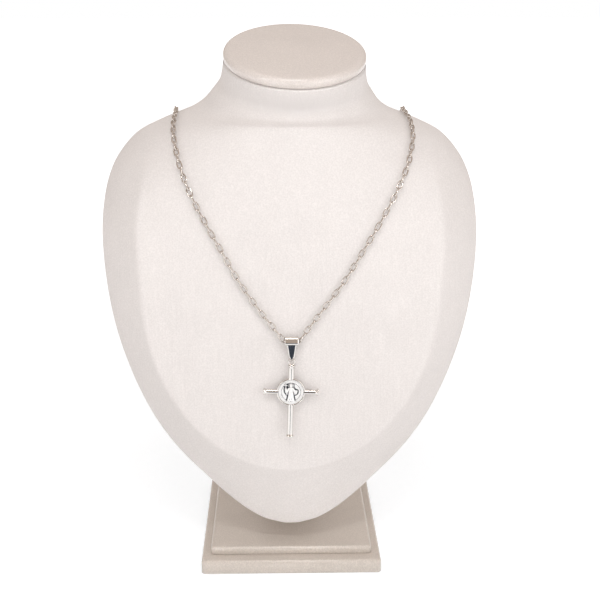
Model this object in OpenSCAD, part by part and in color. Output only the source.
// Crucifix pendant on a cable chain, shown on a padded neck bust with a stepped base.
// Millimetres, +Z up, the front of the bust faces -Y, origin in the middle of the base's underside.

/* [Base] */
// Width of the lower plate
base_w = 100; // [80:1:140]
// Depth of the lower plate, front to back
base_d = 120; // [100:1:160]
// Thickness of the lower plate
base_lower_t = 8; // [5:0.5:14]
// Thickness of the upper step
base_upper_t = 4.5; // [3:0.5:9]
// How far the upper step stands back at each side
step_side = 5; // [2:0.5:12]
// How far the upper step stands back at the front and the rear
step_front = 7.5; // [2:0.5:14]
// Radius of the padded top edges of both steps
base_edge_r = 1.8; // [0.5:0.1:2.8]
// Radius of the upright corners of both steps
base_corner_r = 2.5; // [1:0.1:6]

/* [Bust] */
// Width of the bust at its widest
bust_w = 200.6; // [180:0.2:230]
// Rise of the bust from its lower tip to the middle of the neck's top
bust_rise = 251; // [230:1:280]
// Depth of the bust, from the chest's front plane to its back
bust_depth = 109; // [98:1:125]
// Clear height of the bust's tip above the base
tip_gap = 12.5; // [6:0.5:30]
// Distance of the chest's front plane ahead of the middle of the base
chest_front = 66; // [56:1:76]
// Diameter of the neck's top
neck_d = 76.6; // [68:0.2:84]
// Forward lean of the neck's top, in degrees
neck_lean = 20; // [12:1:26]
// Sideways dip of the neck's top towards the right, in degrees
neck_dip = 1.5; // [0:0.1:3]
// Distance of the middle of the neck's top ahead of the middle of the base
neck_front = 3.9; // [0:0.1:10]
// Distance of the middle of the neck's top to the right of the middle of the base
neck_side = 3; // [0:0.1:5]
// Share of the chest's relief that the front panel takes up by its own curve
panel_swell = 0.14; // [0.05:0.01:0.3]
// Width of the front panel, as a share of the bust's width there
panel_wide = 0.785; // [0.7:0.005:0.85]
// Height of the panel's rounded lower end, as a share of the bust's rise
panel_tall = 0.393; // [0.3:0.001:0.45]
// Sharpness of the bevel that runs round the front panel, 1 is a flat chamfer and 2 is round
bevel_power = 1.15; // [1.05:0.05:2]
// Fullness of the back, 2 is an ellipse and more is boxier
back_power = 2.3; // [2:0.1:3]
// Radius of the roll round the neck's top
neck_roll = 1.2; // [0.6:0.1:2]

/* [Neck cap] */
// Diameter of the cap
cap_d = 77; // [68:0.2:84]
// Thickness of the cap at its rim
cap_t = 6; // [4:0.2:12]
// Radius of the cap's padded top edge
cap_edge_r = 2.8; // [1:0.1:3.8]
// Radius of the cap's lower edge
cap_low_edge_r = 2.4; // [0.4:0.1:2.6]
// Rise of the cap's padded top above its rim
cap_dome = 1; // [0.2:0.1:3]
// Clear distance between the cap and the neck
cap_gap = 0.2; // [0.1:0.05:0.5]

/* [Post] */
// Width of the post that carries the bust
post_w = 34; // [24:1:44]
// Depth of the post
post_d = 26; // [18:1:34]
// Radius of the post's upright corners
post_corner_r = 4; // [1:0.5:8]
// Distance of the post's middle behind the middle of the base
post_back = 9; // [2:1:16]
// Height of the post above the base
post_h = 88; // [78:1:110]
// Clear distance between the post and its seat in the bust
post_play = 0.3; // [0.2:0.05:0.6]

/* [Chain] */
// Length of a link, outside
link_l = 5.9; // [5.4:0.1:7]
// Width of a link, outside
link_w = 3.1; // [3:0.05:3.6]
// Thickness of the links' wire
link_wire = 0.8; // [0.6:0.05:0.85]
// Clear distance between links that hook into each other
link_play = 0.15; // [0.1:0.05:0.25]
// Clear distance between the chain and the bust
chain_rest = 0.4; // [0.3:0.05:0.8]
// Clear distance between the clasp and the back of the neck
nape_rest = 1; // [0.6:0.05:1.5]

/* [Clasp] */
// Length of the clasp's barrel
clasp_barrel_l = 9; // [6:0.5:14]
// Diameter of the clasp's barrel
clasp_d = 3.2; // [2.4:0.1:4]

/* [Bail] */
// Width of the bail's roll, along the chain
bail_w = 7; // [5.5:0.1:7.2]
// Thickness of the bail's band
bail_band = 0.5; // [0.4:0.05:0.7]
// Clear distance between the chain and the inside of the roll
bail_play = 0.3; // [0.2:0.05:0.5]
// Clear distance between the roll and the chest
bail_rest = 0.55; // [0.3:0.05:1.5]
// Distance from the roll's middle down to the middle of the bail's foot
bail_drop = 9.8; // [8:0.1:13]
// Width of the bail's plate just under the roll
plate_top_w = 4.9; // [4:0.1:6]
// Width of the bail's plate above its foot
plate_low_w = 3; // [2:0.1:3.6]
// Width of the bail's foot, inside the eye
plate_foot_w = 1.3; // [1:0.05:1.4]

/* [Cross] */
// Height of the cross, without its eye
cross_h = 39.8; // [34:0.1:50]
// Width of the cross over its arms
cross_w = 28.8; // [24:0.1:36]
// Distance from the cross's top down to the middle of the arms
arms_drop = 14.8; // [12:0.1:18]
// Diameter of the upright bar
bar_d = 3; // [2.4:0.1:3.6]
// Diameter of the arms
arm_d = 2.8; // [2.2:0.1:3.4]
// How much wider than its bar each flared end is
flare = 1; // [0.4:0.1:1.6]
// Length of a flared end
flare_l = 1.8; // [1:0.1:3]
// Thickness of the eye's wire
eye_wire = 0.8; // [0.6:0.05:0.9]
// Diameter of the eye, outside
eye_d = 4.1; // [3.8:0.05:4.6]
// Clear distance between the middle of the eye's wire and the bail's foot
eye_play = 0.35; // [0.3:0.05:0.5]
// How far the cross hangs out of the upright, its foot to the left, in degrees
cross_tilt = 1.5; // [0:0.1:3]

/* [Medal] */
// Diameter of the round setting, outside
setting_d = 15; // [13:0.1:17]
// Height of the setting, front to back
setting_t = 2.7; // [2.2:0.1:3.6]
// Width of the setting's raised rim
rim_w = 0.8; // [0.5:0.05:1.1]
// Radius of the setting's soft edges
setting_edge_r = 0.35; // [0.1:0.05:0.4]
// Depth of the setting's seat behind its rim
seat_depth = 1.3; // [1:0.05:1.6]
// Clear distance between the medal and its seat
medal_play = 0.1; // [0.05:0.01:0.2]
// Thickness of the medal's plate
medal_t = 0.7; // [0.5:0.05:0.9]
// Height of the figure above the medal's plate
relief_h = 0.55; // [0.3:0.05:0.7]
// How many beads run round the medal
bead_count = 40; // [24:1:48]

/* [Hidden] */
$fn = 48;

base_top = base_lower_t + base_upper_t;
tip_z = base_top + tip_gap;
neck_top = [neck_side, -neck_front, tip_z + bust_rise];

// Sections of the bust, from its tip to the neck's top.
// height: share of bust_rise. width: share of half of bust_w.
// edge, front, back: depth of the widest line, of the front's middle and of the back's middle
// behind the chest's front plane, as shares of bust_depth.
// round: 0 is a panel with a bevel, 1 is a plain curve. neck: 0 is chest, 1 is the neck's circle.
sections = [
    // height, width, edge, front, back, round, neck
    [0.000, 0.050, 0.170, 0.046, 0.197, 0, 0],
    [0.011, 0.148, 0.174, 0.043, 0.257, 0, 0],
    [0.035, 0.250, 0.178, 0.039, 0.349, 0, 0],
    [0.070, 0.356, 0.183, 0.035, 0.477, 0, 0],
    [0.111, 0.461, 0.187, 0.029, 0.606, 0, 0],
    [0.155, 0.568, 0.191, 0.023, 0.697, 0, 0],
    [0.202, 0.662, 0.193, 0.017, 0.780, 0, 0],
    [0.265, 0.759, 0.196, 0.009, 0.853, 0, 0],
    [0.349, 0.852, 0.202, 0.002, 0.917, 0, 0],
    [0.448, 0.930, 0.217, 0.000, 0.963, 0, 0],
    [0.548, 0.977, 0.252, 0.005, 0.991, 0, 0],
    [0.647, 1.000, 0.321, 0.026, 1.000, 0.15, 0],
    [0.726, 0.989, 0.404, 0.060, 1.000, 0.40, 0],
    [0.782, 0.953, 0.486, 0.096, 1.000, 0.70, 0],
    [0.821, 0.900, 0.550, 0.128, 1.000, 0.90, 0.01],
    [0.851, 0.832, 0.596, 0.149, 1.000, 1, 0.03],
    [0.871, 0.742, 0.624, 0.157, 1.000, 1, 0.07],
    [0.885, 0.671, 0.632, 0.155, 0.996, 1, 0.15],
    [0.897, 0.613, 0.636, 0.152, 0.995, 1, 0.30],
    [0.913, 0.582, 0.632, 0.146, 1.003, 1, 0.50],
    [0.933, 0.574, 0.632, 0.143, 1.029, 1, 0.70],
    [0.958, 0.534, 0.642, 0.204, 1.110, 1, 0.88],
    [1.000, 0.500, 0.620, 0.211, 1.060, 1, 1]
];
last_row = len(sections) - 1;
rings_per_row = 2.5;
points_around = 64;
panel_row = 10;

// The chain's way over the bust, chosen by hand, from the bail to the nape on both sides.
// row: place in the table of sections. right, left: degrees round the bust from its front's middle.
chain_route = [
    // row, right, left
    [9.04, 2.7, 2.4],
    [9.65, 9.5, 9.5],
    [10.25, 16, 15.5],
    [10.80, 21, 20],
    [11.50, 27, 25.5],
    [12.30, 33, 31],
    [13.30, 39.5, 36.5],
    [14.05, 44, 40.5],
    [14.70, 48.5, 44.5],
    [15.30, 53.5, 49.5],
    [15.90, 61, 56.5],
    [16.60, 72, 67],
    [17.10, 85, 82],
    [16.90, 102, 102],
    [16.05, 118, 118],
    [15.35, 132, 132],
    [15.05, 147, 147],
    [14.95, 163, 163],
    [14.92, 180, 180]
];
route_steps = 220;
lift_steps = 2;

// Lengths along the chain, from tip wire to tip wire
edge_step = link_l - link_wire;
flat_step = edge_step - 2 * (link_wire + link_play);
chain_lift = link_w / 2 + chain_rest;
nape_lift = clasp_d / 2 + nape_rest;

// Bail, seen from the side
roll_in_r = link_w / 2 + bail_play;
roll_r = roll_in_r + bail_band;
foot_in_r = eye_wire / 2 + eye_play;
foot_r = foot_in_r + bail_band;
bail_lift = roll_r + bail_rest;

function mix(a, b, t) = a + (b - a) * t;
function unit(v) = v / norm(v);
function clamp(v, low, high) = max(low, min(high, v));

// A smooth curve through a list of rows of numbers, at place u
function row_at(rows, i) =
    i < 0 ? 2 * rows[0] - rows[1] :
    i > len(rows) - 1 ? 2 * rows[len(rows) - 1] - rows[len(rows) - 2] :
    rows[i];
function smooth(rows, u) =
    let (i = clamp(floor(u), 0, len(rows) - 2), t = clamp(u, 0, len(rows) - 1) - i,
         a = row_at(rows, i - 1), b = row_at(rows, i),
         c = row_at(rows, i + 1), d = row_at(rows, i + 2))
    0.5 * (2 * b + (c - a) * t + (2 * a - 5 * b + 4 * c - d) * t * t
        + (3 * b - a - 3 * c + d) * t * t * t);

function half_width(s) = bust_w / 2 * s[1];
function level(s) = tip_z + s[0] * bust_rise;

// The bust's outline below the panel's middle, seen from that middle: angle from straight down
// and distance
panel_at = smooth(sections, panel_row);
outline_way = [for (i = [0:8 * panel_row])
    let (s = smooth(sections, i / 8), below = level(panel_at) - level(s))
    [atan2(half_width(s), below), norm([half_width(s), below])]];

// How far out a point of the front lies between the panel's crease, 0, and the outline, 1.
// Below the panel's middle the crease is half an ellipse.
function way_out(s, share) =
    let (below = level(panel_at) - level(s), across = share * half_width(s),
         angle = atan2(across, below),
         crease = 1 / norm([sin(angle) / (panel_wide * half_width(panel_at)),
                            cos(angle) / (panel_tall * bust_rise)]))
    clamp(below > 0
        ? (norm([across, below]) - crease) / (lookup(angle, outline_way) - crease)
        : (share - panel_wide) / (1 - panel_wide), 0, 1);

// Depth of the front between its middle, 0, and the widest line, 1, at a share of the half width
function front_depth(share, out, round) =
    let (swell = panel_swell * share * share,
         bevel = 1 - pow(max(0, 1 - pow(out, bevel_power)), 1 / bevel_power))
    mix(mix(swell, 1, bevel), 1 - sqrt(max(0, 1 - share * share)), round);

// A point on the bust at a row and a turn
function bust_point(row, turn) =
    let (s = smooth(sections, row), side = sin(turn), share = abs(side),
         h = level(s),
         edge_y = bust_depth * s[2] - chest_front,
         front_y = bust_depth * s[3] - chest_front,
         back_y = bust_depth * s[4] - chest_front,
         power = mix(back_power, 2, s[5]),
         y = cos(turn) > 0
             ? mix(front_y, edge_y, front_depth(share, way_out(s, share), s[5]))
             : mix(edge_y, back_y, pow(max(0, 1 - pow(share, power)), 1 / power)),
         chest = [half_width(s) * side, y, h],
         below = neck_top[2] - h,
         neck = [neck_top[0], neck_top[1] + below * tan(neck_lean), h]
             + neck_turned(neck_d / 2 * [side, -cos(turn), 0]))
    mix(chest, neck, s[6]);

// Turns a vector as the neck leans forward and dips sideways
function neck_turned(v) =
    let (y = v[1] * cos(neck_lean) - v[2] * sin(neck_lean),
         z = v[1] * sin(neck_lean) + v[2] * cos(neck_lean))
    [v[0] * cos(neck_dip) + z * sin(neck_dip), y, z * cos(neck_dip) - v[0] * sin(neck_dip)];

// The outward direction there
function bust_out(row, turn) =
    let (d = 0.05,
         up = bust_point(row + d, turn) - bust_point(row - d, turn),
         along = bust_point(row, turn + 10 * d) - bust_point(row, turn - 10 * d))
    unit(cross(along, up));

// The chain's middle line on the right, 1, or left, -1, from the bail at 0 to the nape at 1
function lift_at(u) =
    let (place = u * (len(chain_route) - 1))
    place < lift_steps
        ? mix(bail_lift, chain_lift, sin(90 * place / lift_steps))
        : mix(chain_lift, nape_lift, pow(clamp(2 * u - 1, 0, 1), 3));
function route_turn(u, side) =
    let (p = smooth(chain_route, u * (len(chain_route) - 1)))
    [p[0], side > 0 ? p[1] : -p[2]];
function route_out(u, side) =
    let (p = route_turn(u, side)) bust_out(p[0], p[1]);
function route_point(u, side) =
    let (p = route_turn(u, side)) bust_point(p[0], p[1]) + lift_at(u) * bust_out(p[0], p[1]);

bail_at = (route_point(0, 1) + route_point(0, -1)) / 2;
half_roll = [(edge_step + flat_step) / 2, 0, 0];
function line_of(side) = [for (i = [0:route_steps])
    i == 0 ? bail_at + side * half_roll : route_point(i / route_steps, side)];
function run_of(line) = [for (i = 0, run = 0; i <= route_steps;
    i = i + 1, run = run + (i <= route_steps ? norm(line[i] - line[i - 1]) : 0)) run];
right_line = line_of(1);
left_line = line_of(-1);
right_run = run_of(right_line);
left_run = run_of(left_line);

// The place along a strand that lies a given length from the bail, as a share of its steps
function step_before(runs, length, low, high) =
    high - low <= 1 ? low :
    let (mid = floor((low + high) / 2))
    runs[mid] <= length ? step_before(runs, length, mid, high) : step_before(runs, length, low, mid);
function place_at(runs, length) =
    let (i = step_before(runs, length, 0, route_steps))
    i + (length - runs[i]) / (runs[i + 1] - runs[i]);
function point_at(line, place) =
    let (i = min(floor(place), route_steps - 1)) mix(line[i], line[i + 1], place - i);

// Pairs of links on each side: one stands on edge and one lies flat, hooked into each other.
// What the loop's length leaves over is shared out as a little more play.
clasp_step = clasp_barrel_l + 2 * (link_w - link_wire);
strands = right_run[route_steps] + left_run[route_steps];
pairs = ceil((strands - clasp_step - flat_step) / (2 * (edge_step + flat_step)));
flat_run = (strands - clasp_step - 2 * pairs * edge_step) / (2 * pairs + 1);
pair_run = edge_step + flat_run;

function right_length(k) = floor(k / 2) * pair_run + (k % 2) * edge_step;
function left_length(k) = ceil(k / 2) * flat_run + floor(k / 2) * edge_step;
function right_node(k) = point_at(right_line, place_at(right_run, right_length(k)));
function left_node(k) = point_at(left_line, place_at(left_run, left_length(k)));
function right_out(k) =
    route_out(place_at(right_run, (right_length(k) + right_length(k + 1)) / 2) / route_steps, 1);
function left_out(k) =
    route_out(place_at(left_run, (left_length(k) + left_length(k + 1)) / 2) / route_steps, -1);

eye_at = bail_at - [0, 0, bail_drop + (eye_d - eye_wire) / 2];
eye_sink = 0.6;
cross_top = (1 - eye_sink) * eye_wire - eye_d / 2;
medal_r = setting_d / 2 - rim_w - medal_play;
medal_back = setting_t / 2 - seat_depth + medal_play;

// Half of a flared end's outline. out: share of the flare. back: share of flare_l from the end.
flared_end = [
    // out, back
    [0.70, 0.00],
    [1.00, 0.17],
    [0.80, 0.39],
    [0.30, 0.70],
    [0.00, 1.00]
];

// The figure on the medal: pads of relief, with the space between the pads of a group filled in.
// x, y, radius: shares of the medal's radius. height: share of relief_h.
robe = [
    // x, y, radius, height
    [0, 0.18, 0.195, 1],
    [0, -0.345, 0.17, 1],
    [-0.185, -0.68, 0.1, 0.7],
    [0.185, -0.68, 0.1, 0.7]
];
left_arm = [
    // x, y, radius, height
    [-0.14, 0.23, 0.1, 0.85],
    [-0.345, 0.07, 0.08, 0.75],
    [-0.415, 0.28, 0.063, 0.8]
];
right_arm = [
    // x, y, radius, height
    [0.14, 0.23, 0.1, 0.85],
    [0.345, -0.02, 0.09, 0.75],
    [0.23, -0.07, 0.07, 0.9]
];
// What the figure holds. x, y, width, length: shares of the medal's radius. turn: degrees.
held = [
    // x, y, width, length, turn
    [-0.415, 0.4, 0.06, 0.5, 0],
    [-0.415, 0.49, 0.24, 0.06, 0],
    [0.39, 0.02, 0.22, 0.29, -12]
];
head_r = 0.138 * medal_r;
head_y = 0.52 * medal_r;
halo_r = 0.195 * medal_r;
bead_r = 0.036 * medal_r;
bead_ring_r = 0.885 * medal_r;
outer_line_r = 0.962 * medal_r;
inner_line_r = 0.805 * medal_r;
line_w = 0.2;

// Puts a piece whose length is X and whose flat side faces Z between two points
module lay(from, to, out) {
    x = unit(to - from);
    z = unit(out - (out * x) * x);
    y = cross(z, x);
    c = (from + to) / 2;
    multmatrix([
        [x[0], y[0], z[0], c[0]],
        [x[1], y[1], z[1], c[1]],
        [x[2], y[2], z[2], c[2]],
        [0, 0, 0, 1]
    ]) children();
}

function arc(c, r, from, to, steps) =
    [for (i = [0:steps]) c + r * [cos(mix(from, to, i / steps)), sin(mix(from, to, i / steps))]];

// Outline of a w by d rectangle round the origin with four round corners
function round_rect(w, d, r) =
    let (x = w / 2 - r, y = d / 2 - r, n = 6)
    concat(
        arc([x, y], r, 0, 90, n), arc([-x, y], r, 90, 180, n),
        arc([-x, -y], r, 180, 270, n), arc([x, -y], r, 270, 360, n));

// Outline of a step seen from one side: square below, round above
function step_side_outline(w, t, r) =
    concat([[-w / 2, 0], [w / 2, 0]],
        arc([w / 2 - r, t - r], r, 0, 90, 6), arc([r - w / 2, t - r], r, 90, 180, 6));

module padded_step(w, d, t, z) {
    translate([0, 0, z]) intersection() {
        linear_extrude(t) polygon(round_rect(w, d, base_corner_r));
        rotate([90, 0, 0]) linear_extrude(2 * d, center = true)
            polygon(step_side_outline(w, t, base_edge_r));
        rotate([90, 0, 90]) linear_extrude(2 * w, center = true)
            polygon(step_side_outline(d, t, base_edge_r));
    }
}

module base_lower() {
    color("#dcd3ca") padded_step(base_w, base_d, base_lower_t, 0);
}

module base_upper() {
    color("#cfc4b8")
        padded_step(base_w - 2 * step_side, base_d - 2 * step_front, base_upper_t, base_lower_t);
}

module post_block(play) {
    translate([0, post_back, base_top])
        linear_extrude(post_h + play)
            polygon(round_rect(post_w + 2 * play, post_d + 2 * play, post_corner_r + play));
}

module stand_post() {
    color("#cfc4b8") post_block(0);
}

// The bust's skin as rings of points, closed by a small tip and by the neck's flat top
module bust_skin() {
    rings = round(last_row * rings_per_row);
    n = points_around;
    neck_up = neck_turned([0, 0, 1]);
    walls = [for (i = [0:rings]) for (j = [0:n - 1])
        bust_point(last_row * i / rings, 360 * j / n)];
    roll = [for (step = [1, 2]) for (j = [0:n - 1])
        let (p = bust_point(last_row, 360 * j / n), a = 45 * step,
             inward = unit(neck_top - p))
        p + neck_roll * ((1 - cos(a)) * inward + sin(a) * neck_up) - neck_roll * neck_up];
    lowered = [for (k = [0:len(walls) - 1])
        k < rings * n ? walls[k] : walls[k] - neck_roll * neck_up];
    points = concat(lowered, roll);
    top = rings + 2;
    sides = [for (i = [0:top - 1]) for (j = [0:n - 1])
        let (k = (j + 1) % n, a = i * n + j, b = i * n + k)
        each [[a, a + n, b], [b, a + n, b + n]]];
    foot = [for (j = [0:n - 1]) j];
    lid = [for (j = [n - 1:-1:0]) top * n + j];
    polyhedron(points, concat(sides, [foot], [lid]), convexity = 6);
}

module bust_form() {
    color("#efe7e1") difference() {
        bust_skin();
        translate([0, 0, -1]) post_block(post_play);
        post_block(post_play);
    }
}

// Half of the cap's outline, turned round the neck's leaning axis
module neck_cap() {
    r = cap_d / 2;
    dome_r = (pow(r - cap_edge_r, 2) + cap_dome * cap_dome) / (2 * cap_dome);
    dome_half = asin((r - cap_edge_r) / dome_r);
    outline = concat(
        [[0, cap_gap]],
        arc([r - cap_low_edge_r, cap_gap + cap_low_edge_r], cap_low_edge_r, -90, 0, 4),
        arc([r - cap_edge_r, cap_gap + cap_t - cap_edge_r], cap_edge_r, 0, 90 - dome_half, 6),
        [for (i = [1:5]) let (a = dome_half * (1 - i / 5))
            [dome_r * sin(a), cap_gap + cap_t + cap_dome - dome_r * (1 - cos(a))]]);
    color("#ded2c8") translate(neck_top) rotate([0, neck_dip, 0]) rotate([neck_lean, 0, 0])
        rotate_extrude($fn = 96) polygon(outline);
}

// One long oval link, its length along X and flat in XY
module link_end() {
    translate([(link_l - link_w) / 2, 0, 0]) rotate([0, 0, -90])
        rotate_extrude(angle = 180, $fn = 24)
            translate([(link_w - link_wire) / 2, 0]) circle(d = link_wire, $fn = 16);
}

module link() {
    link_end();
    rotate([0, 0, 180]) link_end();
    for (side = [-1, 1])
        translate([0, side * (link_w - link_wire) / 2, 0]) rotate([0, 90, 0])
            cylinder(d = link_wire, h = link_l - link_w, center = true, $fn = 16);
}

module flat_link(from, to, out) {
    lay(from, to, out) link();
}

module edge_link(from, to, out) {
    lay(from, to, out) rotate([90, 0, 0]) link();
}

module chain() {
    color("silver") {
        front = [0, -1, 0];
        inner = bail_at + half_roll - [flat_step, 0, 0];
        edge_link(bail_at - half_roll, inner, front);
        flat_link(inner, bail_at + half_roll, front);
        for (k = [0:2 * pairs - 1])
            if (k % 2 == 0) edge_link(right_node(k), right_node(k + 1), right_out(k));
            else flat_link(right_node(k), right_node(k + 1), right_out(k));
        for (k = [0:2 * pairs])
            if (k % 2 == 0) flat_link(left_node(k), left_node(k + 1), left_out(k));
            else edge_link(left_node(k), left_node(k + 1), left_out(k));
    }
}

// A closed barrel with a round eye at each end, in line with the chain
module clasp() {
    from = right_node(2 * pairs);
    to = left_node(2 * pairs + 1);
    span = norm(to - from);
    eye_r = (link_w - link_wire) / 2;
    color("silver") lay(from, to, [0, 1, 0]) rotate([90, 0, 0]) {
        for (side = [-1, 1])
            translate([side * (span / 2 - eye_r), 0, 0])
                rotate_extrude($fn = 24) translate([eye_r, 0]) circle(d = link_wire, $fn = 16);
        rotate([0, 90, 0]) rotate_extrude($fn = 32) polygon(clasp_outline(span - 4 * eye_r));
    }
}

// Half of the barrel's outline along its length, with rounded shoulders
function clasp_outline(length) =
    let (r = clasp_d / 2, half = length / 2, shoulder = r * 0.6)
    concat([[0, -half]],
        arc([r - shoulder, shoulder - half], shoulder, -90, 0, 4),
        arc([r - shoulder, half - shoulder], shoulder, 0, 90, 4),
        [[0, half]]);

// A drop along X round the chain above and the eye below. Its straight sides start a little
// inside the round ends, so that they cross them cleanly.
module drop(top_r, low_r, depth) {
    lean = asin((top_r - low_r) / bail_drop);
    side = [cos(lean), -sin(lean)];
    inset = 0.02;
    top = (top_r - inset) * side;
    low = [0, -bail_drop] + (low_r - inset) * side;
    rotate([90, 0, 90]) {
        cylinder(r = top_r, h = depth, center = true, $fn = 64);
        translate([0, -bail_drop, 0]) cylinder(r = low_r, h = depth, center = true, $fn = 48);
        linear_extrude(depth, center = true)
            polygon([top, low, [-low[0], low[1]], [-top[0], top[1]]]);
    }
}

// The roll is cut down to the plate's width below its lower edge, and the plate to the foot's
module bail() {
    roll_low = -roll_r * 0.8;
    plate_low = mix(roll_low, -bail_drop, 0.8);
    foot = -bail_drop - 2 * foot_r;
    right = [
        [bail_w / 2, 2 * roll_r], [bail_w / 2, roll_low], [plate_top_w / 2, roll_low],
        [plate_low_w / 2, plate_low], [plate_foot_w / 2, -bail_drop], [plate_foot_w / 2, foot]
    ];
    left = [for (i = [len(right) - 1:-1:0]) [-right[i][0], right[i][1]]];
    color("gainsboro") translate(bail_at) intersection() {
        difference() {
            drop(roll_r, foot_r, bail_w);
            drop(roll_in_r, foot_in_r, bail_w + 2);
        }
        rotate([90, 0, 0]) linear_extrude(4 * roll_r, center = true)
            polygon(concat(right, left));
    }
}

// A round bar along Z from its middle, with both ends flared
module flared_bar(length, d) {
    upper = [for (p = flared_end) [(d + flare * p[0]) / 2, length / 2 - flare_l * p[1]]];
    lower = [for (i = [len(upper) - 1:-1:0]) [upper[i][0], -upper[i][1]]];
    rotate_extrude($fn = 40)
        polygon(concat([[0, length / 2]], upper, lower, [[0, -length / 2]]));
}

// Hangs a piece by the eye, its origin in the middle of the eye and its front towards -Y
module hang() {
    translate(eye_at) rotate([0, cross_tilt, 0]) children();
}

// Puts a piece on the middle of the arms, facing the front
module on_arms() {
    hang() translate([0, 0, cross_top - arms_drop]) rotate([90, 0, 0]) children();
}

module cross_pendant() {
    color("silver") difference() {
        union() {
            hang() {
                translate([0, 0, cross_top - cross_h / 2]) flared_bar(cross_h, bar_d);
                rotate([90, 0, 0]) rotate_extrude($fn = 40)
                    translate([(eye_d - eye_wire) / 2, 0]) circle(d = eye_wire, $fn = 24);
            }
            on_arms() rotate([0, 90, 0]) flared_bar(cross_w, arm_d);
            on_arms() rotate_extrude($fn = 72) polygon(setting_outline());
        }
        on_arms() translate([0, 0, setting_t / 2 - seat_depth])
            cylinder(r = setting_d / 2 - rim_w, h = setting_t, $fn = 72);
    }
}

// Half of the setting's outline: a shallow drum with soft edges
function setting_outline() =
    let (r = setting_d / 2, half = setting_t / 2, soft = setting_edge_r)
    concat([[0, -half]],
        arc([r - soft, soft - half], soft, -90, 0, 3),
        arc([r - soft, half - soft], soft, 0, 90, 3),
        [[0, half]]);

// A fine raised line round the medal
module ring_line(r) {
    translate([0, 0, medal_t]) rotate_extrude($fn = 72)
        polygon([[r - line_w / 2, -line_w / 2], [r + line_w / 2, -line_w / 2],
            [r + line_w / 4, line_w], [r - line_w / 4, line_w]]);
}

// The medal's plate with its two lines and its ring of beads, facing +Z
module medal_plate() {
    cylinder(r = medal_r, h = medal_t, $fn = 72);
    ring_line(outer_line_r);
    ring_line(inner_line_r);
    for (i = [0:bead_count - 1])
        rotate([0, 0, 360 * i / bead_count]) translate([bead_ring_r, 0, medal_t])
            sphere(r = bead_r, $fn = 16);
}

// A round head, cut off by the plate it stands on
module dome(r, h) {
    ball_r = (r * r + h * h) / (2 * h);
    intersection() {
        translate([0, 0, h - ball_r]) sphere(r = ball_r, $fn = 32);
        translate([0, 0, -h / 4]) cylinder(r = 1.5 * r, h = 2 * h, $fn = 32);
    }
}

module relief(pads) {
    sunk = 0.1;
    hull() for (p = pads)
        translate([medal_r * p[0], medal_r * p[1], medal_t - sunk])
            cylinder(r1 = medal_r * p[2], r2 = 0.6 * medal_r * p[2],
                h = relief_h * p[3] + sunk, $fn = 16);
}

// A standing robed figure with a plain head, a small cross in one hand and a book in the other
module figure() {
    relief(robe);
    relief(left_arm);
    relief(right_arm);
    translate([0, head_y, medal_t]) {
        cylinder(r = halo_r, h = 0.4 * relief_h, center = true, $fn = 32);
        dome(head_r, 0.9 * relief_h);
    }
    for (p = held)
        translate([medal_r * p[0], medal_r * p[1], medal_t]) rotate([0, 0, p[4]])
            cube([medal_r * p[2], medal_r * p[3], 1.3 * relief_h], center = true);
}

module medal() {
    color("white") on_arms() translate([0, 0, medal_back]) {
        medal_plate();
        figure();
    }
}

base_lower();
base_upper();
stand_post();
bust_form();
neck_cap();
chain();
clasp();
bail();
cross_pendant();  // cross
medal();
